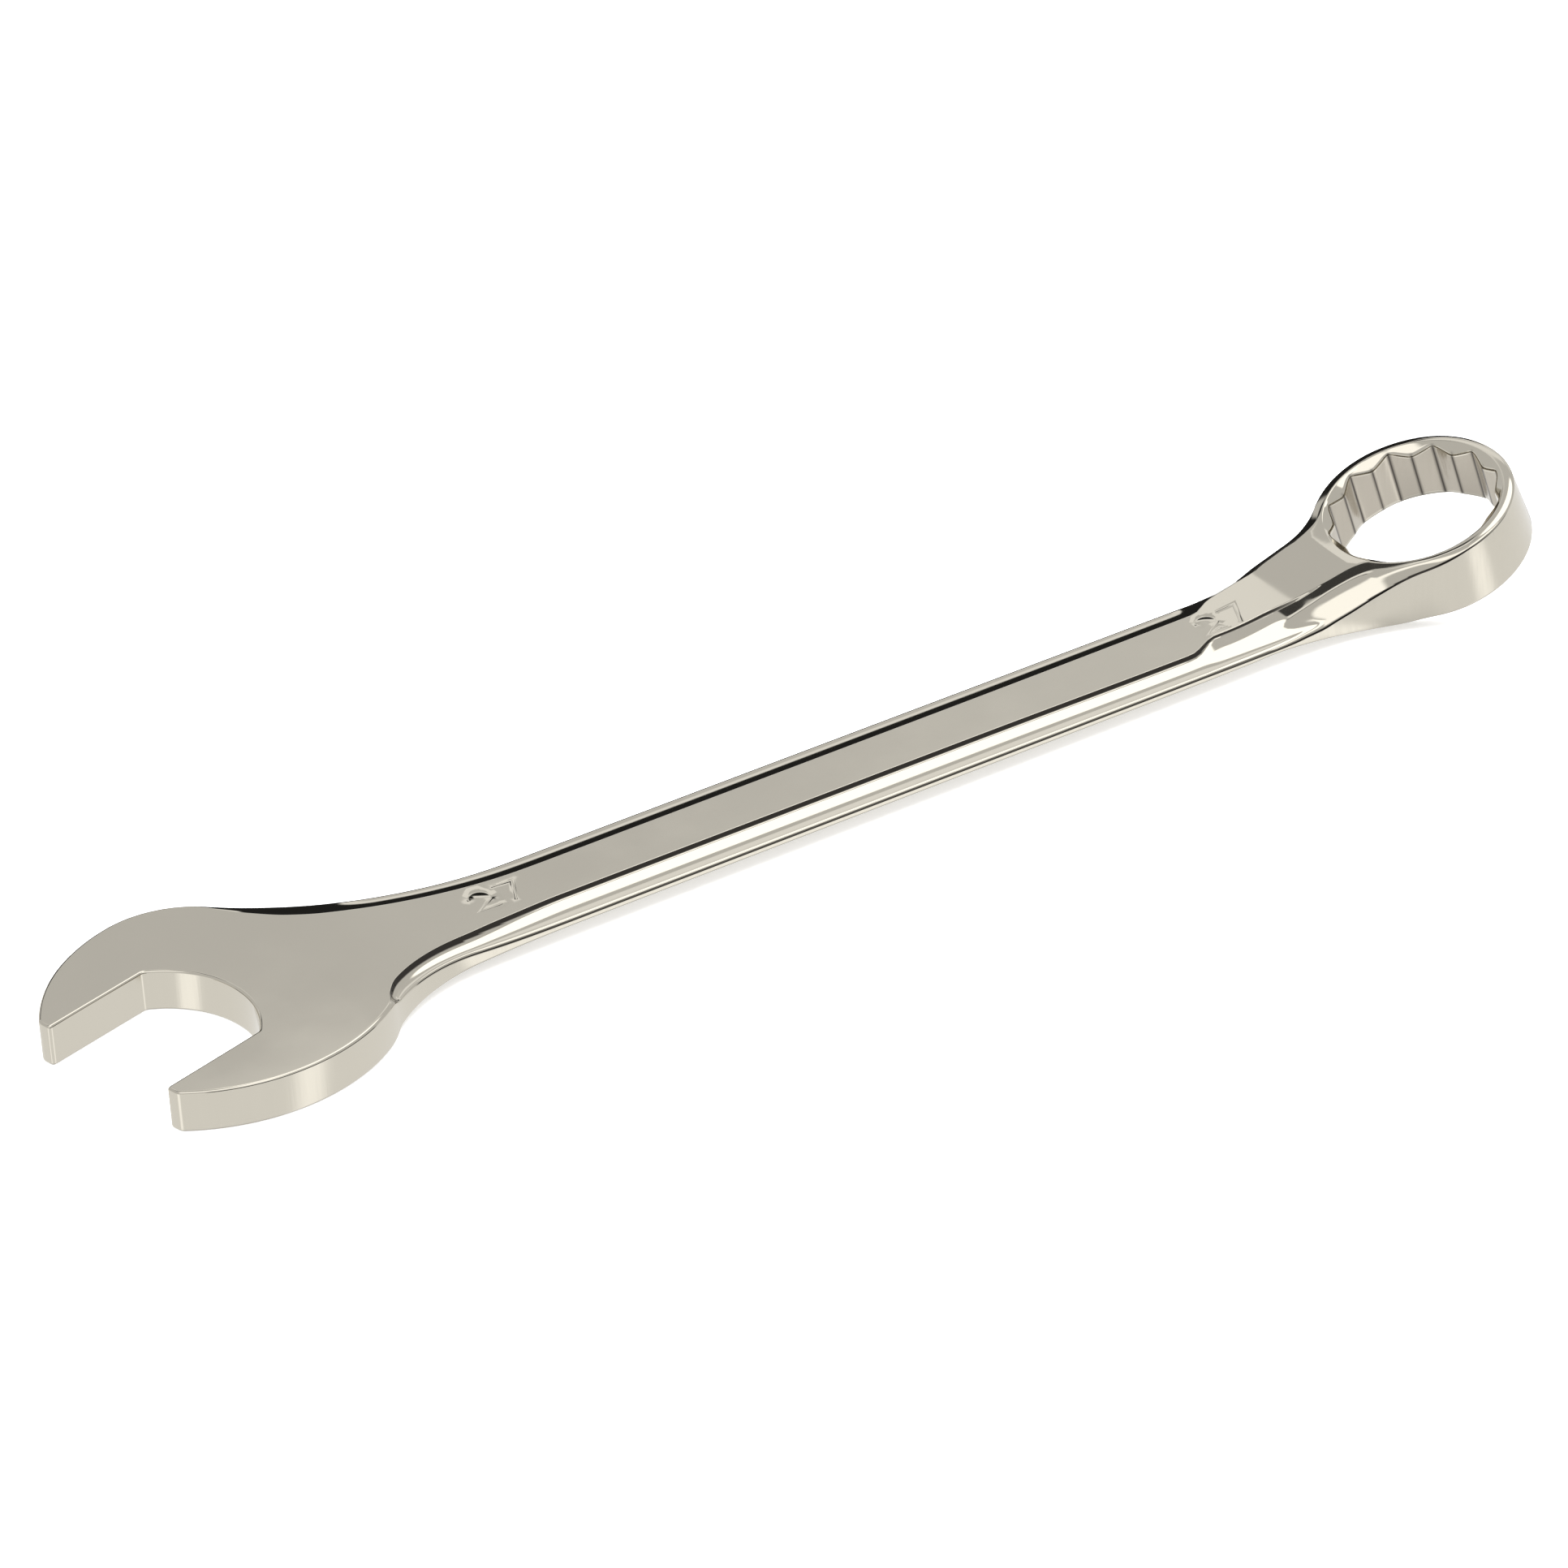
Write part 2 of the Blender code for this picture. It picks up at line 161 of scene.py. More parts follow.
# The shoulder's section beside the ring's neck: nearly level, then steeper to the wall
SHOULDER_SLOPES = [(0.0, 0.0), (0.03, 0.08), (0.36, 0.15), (0.42, 0.35), (0.55, 0.5), (0.62, 0.7),
                   (0.7, 0.85), (0.98, 0.9), (0.985, 3.2), (1.0, 3.2)]
# The side wall's rounded edge, as shares of the flank's width and of its drop
WALL_ROUND_WIDTH = 0.13
WALL_ROUND_DROP = 0.29
NEAR_WALL_ROUND = 0.6
FAR_WALL_ROUND = 0.25

# Painted dark reflection in the near flank's step: shares of the flute's width where it starts and
# ends
STEP_LINE_START = 0.014
FLUTE_LINE_END = 0.12
TONGUE_LINE_END = 0.24
LEDGE_LINE_END = 0.05
# Painted dark reflection on the rounded top of the near side wall
WALL_LINE_SHARE = 0.9
WALL_LINE_DROP = 0.42
WALL_LINE = [(34.0, 0.0), (60.0, 0.8), (208.0, 0.8), (219.0, 1.0), (246.0, 1.0), (256.0, 0.0)]

# Stamped size on the panel
STAMP = "27"
STAMP_HEIGHT = 5.4
STAMP_WIDTH = 3.8
STAMP_PITCH = 5.4
STAMP_HALF_STROKE = 0.34
STAMP_DEPTH = 0.05
STAMP_CENTRES = [(62.3, 2.0), (207.3, 2.5)]
# The stroke's floor: shares of the stroke's half width and of its depth
STAMP_FLOOR_WIDTH = 0.55
STAMP_FLOOR_DEPTH = 0.85
# Figure 2: the arc of its bow; figure 7: where its leg ends, as a share of half its width
BOW_START = math.radians(170.0)
BOW_END = math.radians(-35.0)
BOW_STEP = 0.4
LEG_END = -0.3
MITRE_LIMIT = 0.35

# Material indices
POLISHED = 0
GROUND = 1
BROACHED = 2

# Mesh density
ARC_STEP = 0.5
SHANK_STEP = 1.5
CORNER_STEPS = 8
FLANK_SHARES = [0.0, 0.008, 0.016, 0.026, 0.038, 0.052, 0.07, 0.09, 0.115, 0.145, 0.18, 0.22,
                0.27, 0.33, 0.4, 0.47, 0.54, 0.61, 0.68, 0.75, 0.81, 0.85]
ROUND_STEPS = 7
BORE_STEPS = 360
PANEL_BORDER = 0.12
PANEL_GRID = 1.2
GRID_CLEARANCE = 0.7
GRID_MARGIN = 2.0
GRID_HALF_ROWS = 20
RIM_CLEARANCE = 1.0
CDT_EPSILON = 1e-6
CURVED_PANEL = [(26.0, 76.0), (202.0, 231.0)]


def curve(knots, x):
    """Smooth value at x through the knots, with no overshoot between them."""
    if x <= knots[0][0]:
        return knots[0][1]
    if x >= knots[-1][0]:
        return knots[-1][1]
    slopes = [(b[1] - a[1]) / (b[0] - a[0]) for a, b in zip(knots, knots[1:])]
    span = next(i for i in range(len(slopes)) if x < knots[i + 1][0])

    def tangent(i):
        if i in (0, len(slopes)) or slopes[i - 1] * slopes[i] <= 0:
            return 0.0
        return 2 * slopes[i - 1] * slopes[i] / (slopes[i - 1] + slopes[i])

    (x0, v0), (x1, v1) = knots[span], knots[span + 1]
    width = x1 - x0
    t = (x - x0) / width
    ease = t * t * (3 - 2 * t)
    swing = t * (1 - t) * width
    return v0 + (v1 - v0) * ease + swing * ((1 - t) * tangent(span) - t * tangent(span + 1))


def ease_between(limits, x):
    start, end = limits
    t = min(1.0, max(0.0, (x - start) / (end - start)))
    return t * t * (3 - 2 * t)


def arc(centre, radius, start, end, step=ARC_STEP):
    """Points on an arc, both ends included."""
    count = max(2, math.ceil(abs(end - start) * radius / step))
    angles = [start + (end - start) * i / count for i in range(count + 1)]
    return [centre + radius * Vector((math.cos(a), math.sin(a))) for a in angles]


def line(start, end, step):
    count = max(1, math.ceil((end - start).length / step))
    return [start.lerp(end, i / count) for i in range(count + 1)]


def corner(before, peak, after):
    """A rounded corner, leaving out its two end points."""
    points = []
    for i in range(1, CORNER_STEPS):
        t = i / CORNER_STEPS
        points.append(before.lerp(peak, t).lerp(peak.lerp(after, t), t))
    return points


def heading(vector):
    return math.atan2(vector.y, vector.x)


def jaw_point(out, across):
    """A point given in the jaw's frame, in the flat frame."""
    out_axis = Vector((-math.cos(JAW_TURN), -math.sin(JAW_TURN)))
    across_axis = Vector((-math.sin(JAW_TURN), math.cos(JAW_TURN)))
    return out * out_axis + across * across_axis


def cheek(side):
    """Centre of one jaw's outer arc, and the corner that the arc makes with the jaw's end."""
    centre_across = -side * CHEEK_CENTRE_ACROSS
    rise = math.sqrt(CHEEK_RADIUS ** 2 - (JAW_REACH - CHEEK_CENTRE_OUT) ** 2)
    centre = jaw_point(CHEEK_CENTRE_OUT, centre_across)
    return centre, jaw_point(JAW_REACH, centre_across + side * rise)


def neck_fillet(centre, radius, side, fillet):
    """Centre of a hollow arc that touches a round end and the shank's straight edge."""
    edge_y = SHANK_AXIS_Y + side * (SHANK_WIDTH / 2 + fillet)
    reach = math.sqrt((radius + fillet) ** 2 - (edge_y - centre.y) ** 2)
    toward_shank = 1 if centre.x < BEND_X / 2 else -1
    return Vector((centre.x + toward_shank * reach, edge_y))


def jaw_end(side):
    """One jaw's end face with its rounded corners, from the outer arc to the flat."""
    centre, outer = cheek(side)
    flat = side * ACROSS_FLATS / 2
    back_turn = TIP_ROUND / CHEEK_RADIUS
    start = heading(outer - centre) - side * back_turn
    on_arc = centre + CHEEK_RADIUS * Vector((math.cos(start), math.sin(start)))
    across = (outer - jaw_point(0, 0)).dot(jaw_point(0, 1))
    face_outer = jaw_point(JAW_REACH, across - side * TIP_ROUND)
    face_inner = jaw_point(JAW_REACH, flat + side * TIP_ROUND)
    on_flat = jaw_point(JAW_REACH - TIP_ROUND, flat)
    points = [on_arc] + corner(on_arc, outer, face_outer)
    points += line(face_outer, face_inner, ARC_STEP)
    return points + corner(face_inner, jaw_point(JAW_REACH, flat), on_flat) + [on_flat]


def jaw_inside(far_start, near_end):
    """The far flat, the throat and the near flat, with small roundings between them."""
    half = ACROSS_FLATS / 2
    centre = jaw_point(THROAT_CENTRE_OUT, 0)
    corner_out = THROAT_CENTRE_OUT - math.sqrt(THROAT_RADIUS ** 2 - half ** 2)
    far_peak = jaw_point(corner_out, half)
    near_peak = jaw_point(corner_out, -half)
    turn = THROAT_CORNER_ROUND / THROAT_RADIUS
    throat = arc(centre, THROAT_RADIUS, heading(far_peak - centre) - turn,
                 heading(near_peak - centre) + turn)
    far_flat_end = jaw_point(corner_out + THROAT_CORNER_ROUND, half)
    near_flat_start = jaw_point(corner_out + THROAT_CORNER_ROUND, -half)
    return (
        line(far_start, far_flat_end, ARC_STEP * 2)
        + corner(far_flat_end, far_peak, throat[0])
        + throat
        + corner(throat[-1], near_peak, near_flat_start)
        + line(near_flat_start, near_end, ARC_STEP * 2)
    )


def head_outline():
    """From the far edge of the shank, round both jaws, to the near edge of the shank."""
    far_centre, _ = cheek(1)
    near_centre, _ = cheek(-1)
    shoulder_turn = Vector((math.cos(SHOULDER_START), math.sin(SHOULDER_START)))
    shoulder = far_centre + (CHEEK_RADIUS - SHOULDER_RADIUS) * shoulder_turn
    far_neck = neck_fillet(shoulder, SHOULDER_RADIUS, 1, FAR_NECK_RADIUS)
    near_neck = neck_fillet(near_centre, CHEEK_RADIUS, -1, NEAR_NECK_RADIUS)
    to_far_neck = heading(far_neck - shoulder)
    to_near_neck = heading(near_neck - near_centre)
    far_end = jaw_end(1)
    near_end = jaw_end(-1)[::-1]
    return (
        arc(far_neck, FAR_NECK_RADIUS, -math.pi / 2, to_far_neck - math.pi)
        + arc(shoulder, SHOULDER_RADIUS, to_far_neck, SHOULDER_START)[1:]
        + arc(far_centre, CHEEK_RADIUS, SHOULDER_START, heading(far_end[0] - far_centre))[1:]
        + far_end[1:]
        + jaw_inside(far_end[-1], near_end[0])[1:]
        + near_end[1:]
        + arc(near_centre, CHEEK_RADIUS, heading(near_end[-1] - near_centre), to_near_neck)[1:]
        + arc(near_neck, NEAR_NECK_RADIUS, to_near_neck + math.pi, math.pi / 2)[1:]
    )


def ring_outline():
    """From the near edge of the shank, round the ring, to the far edge of the shank."""
    centre = Vector((RING_X, SHANK_AXIS_Y))
    near_neck = neck_fillet(centre, RING_RADIUS, -1, NEAR_RING_NECK_RADIUS)
    far_neck = neck_fillet(centre, RING_RADIUS, 1, FAR_RING_NECK_RADIUS)
    near_turn = heading(near_neck - centre)
    far_turn = heading(far_neck - centre)
    return (
        arc(near_neck, NEAR_RING_NECK_RADIUS, math.pi / 2, near_turn + math.pi)
        + arc(centre, RING_RADIUS, near_turn, far_turn)[1:]
        + arc(far_neck, FAR_RING_NECK_RADIUS, far_turn - math.pi, -math.pi / 2)[1:]
    )


def bar_outline():
    """The whole outline of the flat bar, counter-clockwise seen from above."""
    head = head_outline()
    ring = ring_outline()
    near_edge = line(head[-1], ring[0], SHANK_STEP)[1:-1]
    far_edge = line(ring[-1], head[0], SHANK_STEP)[1:-1]
    return head + near_edge + ring + far_edge


def panel_edge(outline):
    """The edge of the flat panel: the outline moved inwards by the flank's width.

    It runs into the rim of the ring's bore on both sides and follows it round.
    """
    centre = Vector((RING_X, SHANK_AXIS_Y))
    edge = []
    for i, point in enumerate(outline):
        along = (outline[(i + 1) % len(outline)] - outline[i - 1]).normalized()
        inward = Vector((-along.y, along.x))
        widths = FAR_INSET if point.y > SHANK_AXIS_Y else NEAR_INSET
        on_bar = point + curve(widths, point.x) * inward
        on_ring = centre + (RIM_RADIUS + RIM_LAND) * (point - centre).normalized()
        place = on_bar.lerp(on_ring, ease_between(RING_EASE, point.x))
        if (place - centre).length < RIM_RADIUS + RIM_LAND:
            place = centre + (RIM_RADIUS + RIM_LAND) * (place - centre).normalized()
        edge.append(place)
    return edge


def section_fall(slopes, share):
    """Fall of a section with these slopes at a share of its width, 1 at its outer end."""
    steps = 200
    heights = [0.0]
    for i in range(steps):
        heights.append(heights[-1] + curve(slopes, (i + 0.5) / steps))
    place = min(share, 1.0) * steps
    below = min(int(place), steps - 1)
    part = place - below
    return (heights[below] * (1 - part) + heights[below + 1] * part) / heights[-1]


def quarter_round(t):
    return 1 - math.sqrt(max(0.0, 1 - t * t))


def hollow_fall(slopes, share):
    """The flute or ledge, and then the rounded edge that runs down into the side wall."""
    start = 1 - WALL_ROUND_WIDTH
    if share <= start:
        return (1 - WALL_ROUND_DROP) * section_fall(slopes, share / start)
    return 1 - WALL_ROUND_DROP + WALL_ROUND_DROP * quarter_round((share - start) / WALL_ROUND_WIDTH)


def section_shares():
    """Shares of the flank's width at which the section is sampled, close together at its ends."""
    start = 1 - WALL_ROUND_WIDTH
    turns = [math.pi / 2 * i / ROUND_STEPS for i in range(ROUND_STEPS + 1)]
    return FLANK_SHARES + [start + WALL_ROUND_WIDTH * math.sin(turn) for turn in turns]


def bend(x, y, z):
    """Move a point of the flat bar to its place on the bent bar."""
    start = BEND_X - BEND_LENGTH / 2
    radius = BEND_LENGTH / RING_TILT
    turn = RING_TILT * min(1.0, max(0.0, (x - start) / BEND_LENGTH))
    beyond = max(0.0, x - start - BEND_LENGTH)
    before = min(x, start)
    lift = z + PANEL_DROP
    return Vector((
        before + radius * math.sin(turn) + beyond * math.cos(turn) - lift * math.sin(turn),
        y,
        -PANEL_DROP + radius * (1 - math.cos(turn)) + beyond * math.sin(turn)
        + lift * math.cos(turn),
    ))


def bore_radius(angle):
    """Radius of the twelve-point hole, with slightly rounded ridges and corners."""
    pitch = 2 * math.pi / POINTS
    wave = math.asin(POINT_SHARPNESS * math.cos(POINTS * (angle - RIDGE_TURN)))
    off_ridge = pitch / 4 * (1 - wave * 2 / math.pi)
    return ACROSS_FLATS / 2 / math.cos(pitch / 2 + off_ridge)


def add_ring_of_faces(mesh, rails, material=POLISHED):
    """Join neighbouring rails, each a loop of vertices, with four-sided faces."""
    for upper, lower in zip(rails, rails[1:]):
        for i, _ in enumerate(upper):
            j = (i + 1) % len(upper)
            face = mesh.faces.new((upper[i], lower[i], lower[j], upper[j]))
            face.material_index = material


def mix(a, b, weight):
    return a + (b - a) * weight


def near_fall(profiles, x):
    """Fall of the near flank's section at every share."""
    rounded, flute, tongue, ledge, shoulder = profiles
    weights = [
        (tongue, ease_between(TONGUE_EASE, x)),
        (ledge, ease_between(LEDGE_EASE, x)),
        (shoulder, ease_between(SHOULDER_EASE, x)),
        (rounded, 1 - curve(NEAR_HOLLOWNESS, x)),
    ]
    fall = flute
    for profile, weight in weights:
        fall = [mix(a, b, weight) for a, b in zip(fall, profile)]
    return fall


def far_fall(profiles, shares, x):
    """Fall of the far flank's section at every share."""
    rounded, flute = profiles[:2]
    bevel = ease_between(BEVEL_EASE, x)
    edge = 1 - curve(FAR_HOLLOWNESS, x)
    return [mix(mix(a, share, bevel), b, edge) for a, b, share in zip(flute, rounded, shares)]


def near_painted_shade(x, share, left):
    """How much painted shade the near flank gets at a share of its width, with this much of its
    drop left: dark lines painted in place of dark reflections.
    """
    line_end = mix(FLUTE_LINE_END, TONGUE_LINE_END, ease_between(TONGUE_EASE, x))
    line_end = mix(line_end, LEDGE_LINE_END, ease_between(LEDGE_EASE, x))
    if STEP_LINE_START < share / (1 - WALL_ROUND_WIDTH) < line_end:
        return curve(NEAR_HOLLOWNESS, x) * (1 - ease_between(SHOULDER_EASE, x))
    if share > WALL_LINE_SHARE and 0 < left < WALL_LINE_DROP:
        return curve(WALL_LINE, x)
    return 0.0


def section_profiles(shares):
    """Falls of the five sections: rounded edge, flute, narrow flute, ledge and shoulder."""
    profiles = [[quarter_round(share) for share in shares]]
    for slopes in (FLUTE_SLOPES, TONGUE_SLOPES, LEDGE_SLOPES):
        profiles.append([hollow_fall(slopes, share) for share in shares])
    profiles.append([section_fall(SHOULDER_SLOPES, share) for share in shares])
    return profiles


def side_section(profiles, shares, outer):
    """The flank's drop, the extra drop of its rounded wall edge, and its falls at the shares."""
    x = outer.x
    if outer.y > SHANK_AXIS_Y:
        extra = FAR_WALL_ROUND * curve(FAR_HOLLOWNESS, x) * (1 - ease_between(BEVEL_EASE, x))
        return curve(FAR_DROP, x), extra, far_fall(profiles, shares, x)
    extra = NEAR_WALL_ROUND * curve(NEAR_HOLLOWNESS, x) * (1 - ease_between(SHOULDER_EASE, x))
    return curve(NEAR_DROP, x), extra, near_fall(profiles, x)


def flank_column(profiles, shares, inner, outer):
    """Places down the side of the bar at one point of its outline, and the painted shade at each.
    """
    level = curve(PANEL_LEVEL, outer.x)
    base = level - curve(BAR_DEPTH, outer.x)
    drop, extra, falls = side_section(profiles, shares, outer)
    foot = mix(drop, curve(FOOT_RISE, outer.x), ease_between(FOOT_EASE, outer.x))
    inward = (inner - outer).normalized()
    crest = outer + RING_DRAFT * ease_between(DRAFT_EASE, outer.x) * inward
    border = inner + PANEL_BORDER * inward
    border_level = curve(PANEL_LEVEL, border.x)
    top = [bend(border.x, border.y, border_level)]
    bottom = [bend(border.x, border.y, border_level - curve(BAR_DEPTH, border.x))]
    painted_shades = [0.0]
    for share, fall in zip(shares, falls):
        x, y = inner.lerp(crest, share)
        level_here = mix(curve(PANEL_LEVEL, x), level, share)
        top.append(bend(x, y, level_here - (drop + extra) * fall))
        x, y = inner.lerp(outer, share)
        base_here = mix(curve(PANEL_LEVEL, x) - curve(BAR_DEPTH, x), base, share)
        bottom.append(bend(x, y, base_here + (foot + extra) * fall))
        far = outer.y > SHANK_AXIS_Y
        painted_shades.append(0.0 if far else near_painted_shade(outer.x, share, (drop + extra) * (1 - fall)))
    return top + bottom[::-1], painted_shades + [0.0] * len(bottom)


def add_flanks(mesh, painted_shade, outline, edge):
    """Flanks and side wall: rails from the panel's border down to the other panel's border."""
    shares = section_shares()
    profiles = section_profiles(shares)
    columns = [flank_column(profiles, shares, *pair) for pair in zip(edge, outline)]
    rails = []
    for places in zip(*[places for places, _ in columns]):
        rails.append([mesh.verts.new(place) for place in places])
    # Painted shade of every vertex, for the dark lines painted in place of dark reflections on the
    # near flank
    for rail, painted_shades in zip(rails, zip(*[painted_shades for _, painted_shades in columns])):
        for vert, value in zip(rail, painted_shades):
            vert[painted_shade] = value
    half = len(rails) // 2
    add_ring_of_faces(mesh, rails[:half])
    add_ring_of_faces(mesh, rails[half - 1:half + 1], GROUND)
    add_ring_of_faces(mesh, rails[half:])
    return rails[0], rails[-1]


def digit_strokes(digit):
    """Centre line of one digit, in a box of the stamp's width and height about the origin."""
    w = STAMP_WIDTH / 2
    h = STAMP_HEIGHT / 2
    if digit == "7":
        return [Vector((-w, h)), Vector((w, h)), Vector((LEG_END * w, -h))]
    bow = arc(Vector((0.0, h - w)), w, BOW_START, BOW_END, BOW_STEP)
    return bow + [Vector((-w, -h)), Vector((w, -h))]


def ribbon(centre_line, half_width):
    """Closed loop at a fixed distance from an open line, with mitred corners."""
    left = []
    right = []
    last = len(centre_line) - 1
    for i, point in enumerate(centre_line):
        before = (point - centre_line[i - 1]).normalized() if i else None
        after = (centre_line[i + 1] - point).normalized() if i < last else None
        before = before or after
        after = after or before
        along = (before + after).normalized()
        side = Vector((-along.y, along.x)) * (half_width / max(MITRE_LIMIT, along.dot(before)))
        end = 0.0 if 0 < i < last else half_width * (1 if i else -1)
        left.append(point + side + along * end)
        right.append(point - side + along * end)
    return left + right[::-1]


def stamp_loops():
    """Loops and centre lines of the stamped digits, each with its depth below the panel."""
    closed = []
    opened = []
    for cx, cy in STAMP_CENTRES:
        for place, digit in enumerate(STAMP):
            shift = Vector((cx + (place - 0.5) * STAMP_PITCH, cy))
            centre_line = [point + shift for point in digit_strokes(digit)]
            floor = ribbon(centre_line, STAMP_HALF_STROKE * STAMP_FLOOR_WIDTH)
            closed.append((ribbon(centre_line, STAMP_HALF_STROKE), 0.0))
            closed.append((floor, STAMP_DEPTH * STAMP_FLOOR_DEPTH))
            opened.append((centre_line, STAMP_DEPTH))
    return closed, opened


def inside(polygon, point):
    """True if the point lies within the polygon."""
    crossings = False
    for a, b in zip(polygon, polygon[1:] + polygon[:1]):
        if (a.y > point.y) != (b.y > point.y):
            if point.x < a.x + (point.y - a.y) / (b.y - a.y) * (b.x - a.x):
                crossings = not crossings
    return crossings


def grid_points(border, blocked):
    """Points inside the panel where it is curved, clear of its border and of the stamps."""
    centre = Vector((RING_X, SHANK_AXIS_Y))
    points = []
    for start, end in CURVED_PANEL:
        near = [p for p in border + blocked if start - GRID_MARGIN < p.x < end + GRID_MARGIN]
        for i in range(int((end - start) / PANEL_GRID) + 1):
            for j in range(-GRID_HALF_ROWS, GRID_HALF_ROWS + 1):
                point = Vector((start + i * PANEL_GRID, SHANK_AXIS_Y + j * PANEL_GRID))
                if (point - centre).length < RIM_RADIUS + RIM_CLEARANCE:
                    continue
                if any((point - other).length < GRID_CLEARANCE for other in near):
                    continue
                if inside(border, point):
                    points.append(point)
    return points


def add_panels(mesh, top_border, base_border, border, top_rim, base_rim, rim):
    """Fill the flat panel on both faces, with the stamped digits sunk into the upper one."""
    flat = list(border) + list(rim)
    loops = [(i, (i + 1) % len(border)) for i in range(len(border))]
    loops += [(len(border) + i, len(border) + (i + 1) % len(rim)) for i in range(len(rim))]
    depths = []
    closed, opened = stamp_loops()
    for points, depth in closed + opened:
        first = len(flat)
        count = len(points)
        flat += points
        depths += [depth] * count
        loops += [(first + i, first + i + 1) for i in range(count - 1)]
        if (points, depth) in closed:
            loops.append((first + count - 1, first))
    stamped = flat[len(border) + len(rim):]
    grid = grid_points(list(border), stamped)
    flat += grid
    depths += [0.0] * len(grid)
    _, _, triangles, source, _, _ = delaunay_2d_cdt(flat, loops, [], 1, CDT_EPSILON)
    hole = range(len(border), len(border) + len(rim))
    top_extra = []
    base_extra = []
    for point, depth in zip(flat[len(border) + len(rim):], depths):
        level = curve(PANEL_LEVEL, point.x)
        top_extra.append(mesh.verts.new(bend(point.x, point.y, level - depth)))
        base_extra.append(
            mesh.verts.new(bend(point.x, point.y, level - curve(BAR_DEPTH, point.x))))
    top_verts = top_border + top_rim + top_extra
    base_verts = base_border + base_rim + base_extra
    for triangle in triangles:
        indices = [source[i][0] for i in triangle]
        if all(i in hole for i in indices):
            continue
        mesh.faces.new([top_verts[i] for i in indices])
        mesh.faces.new([base_verts[i] for i in reversed(indices)])


def bore_painted_shade(angle):
    """How much painted shade the bore's wall gets at an angle: 1 on its ridges and corners."""
    half_pitch = math.pi / POINTS
    off_line = (angle - RIDGE_TURN + half_pitch / 2) % half_pitch - half_pitch / 2
    return math.exp(-(off_line / PAINTED_SHADE_SPREAD) ** 2)


def on_bore(angle, radius, z):
    """A point of the bore, on the bent bar."""
    return bend(RING_X + radius * math.cos(angle), SHANK_AXIS_Y + radius * math.sin(angle), z)


def bore_level(down, upper):
    """Height in the flat frame of what lies this deep in the bore, from either face."""
    return -PANEL_DROP - down if upper else -PANEL_DROP - RING_THICKNESS + down


def bore_rails(mesh, painted_shade, upper):
    """Rails of one side of the bore: rim, small rounding, chamfer, rounding, wall."""
    angles = [RIDGE_TURN + 2 * math.pi * i / BORE_STEPS for i in range(BORE_STEPS)]
    rails = []
    for outward, down in RIM_ROUND:
        z = bore_level(down, upper)
        rails.append([mesh.verts.new(on_bore(angle, RIM_RADIUS + outward, z)) for angle in angles])
    for i in range(POINT_ROUND_STEPS + 1):
        t = i / POINT_ROUND_STEPS
        rail = []
        for angle in angles:
            width = RIM_RADIUS - bore_radius(angle)
            room = min(POINT_ROUND, width * POINT_ROUND_SHARE)
            radius = bore_radius(angle) + room * (1 - t) ** 2
            down = width * CHAMFER_SLOPE
            down += room * (POINT_ROUND_DEPTH * t ** 2 - CHAMFER_SLOPE * (1 - t) ** 2)
            vert = mesh.verts.new(on_bore(angle, radius, bore_level(down, upper)))
            # Painted shade on the bore's ridges and corners, growing down the rounding to the wall
            vert[painted_shade] = bore_painted_shade(angle) * t
            rail.append(vert)
        rails.append(rail)
    return angles, rails


def forge_bar():
    """The whole bar as one closed mesh."""
    mesh = bmesh.new()
    # Painted shade per vertex: 1 where the chrome's colour is darkened to a painted dark line
    painted_shade = mesh.verts.layers.float.new("painted_shade_lines")
    outline = bar_outline()
    edge = panel_edge(outline)
    top_border, base_border = add_flanks(mesh, painted_shade, outline, edge)
    border = []
    for inner, outer in zip(edge, outline):
        border.append(inner + PANEL_BORDER * (inner - outer).normalized())
    angles, top_rails = bore_rails(mesh, painted_shade, upper=True)
    _, base_rails = bore_rails(mesh, painted_shade, upper=False)
    centre = Vector((RING_X, SHANK_AXIS_Y))
    rim_radius = RIM_RADIUS + RIM_ROUND[0][0]
    rim = [centre + rim_radius * Vector((math.cos(a), math.sin(a))) for a in angles]
    add_panels(mesh, top_border, base_border, border, top_rails[0], base_rails[0], rim)
    add_ring_of_faces(mesh, base_rails)
    add_ring_of_faces(mesh, [base_rails[-1], top_rails[-1]], BROACHED)
    add_ring_of_faces(mesh, top_rails[::-1])
    bmesh.ops.recalc_face_normals(mesh, faces=mesh.faces)
    return mesh


def place_on_frame(mesh):
    """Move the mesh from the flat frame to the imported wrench's frame."""
    cad_low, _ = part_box("wrench_forging")
    rise = Vector((0.0, 0.0, cad_low.z))
    for vert in mesh.verts:
        vert.co = (vert.co - FRAME_ORIGIN) * MM + rise


# Materials

CHROME = (0.62, 0.585, 0.505, 1.0)
BORE_CHROME = (0.52, 0.48, 0.41, 1.0)
# Near black for the painted shade: dark lines painted in place of dark reflections on the near
# flank and of shade on the bore's ridges and corners
PAINTED_SHADE_COLOUR = (0.05, 0.045, 0.04, 1.0)
POLISH_ROUGHNESS = (0.035, 0.075)
GROUND_ROUGHNESS = (0.1, 0.2)
BROACHED_ROUGHNESS = (0.14, 0.26)
CLOUD_SCALE = 90.0
GRAIN_STRETCH = (1.0, 1.0, 0.03)
GROUND_GRAIN = {"scale": 2600.0, "strength": 0.12}
BROACHED_GRAIN = {"scale": 1800.0, "strength": 0.5}
GRAIN_HEIGHT = 0.00004
SHARP_ANGLE = math.radians(38.0)


def new_material(name):
    material = bpy.data.materials.new(name)
    material.use_nodes = True
    tree = material.node_tree
    return material, tree, tree.nodes["Principled BSDF"]


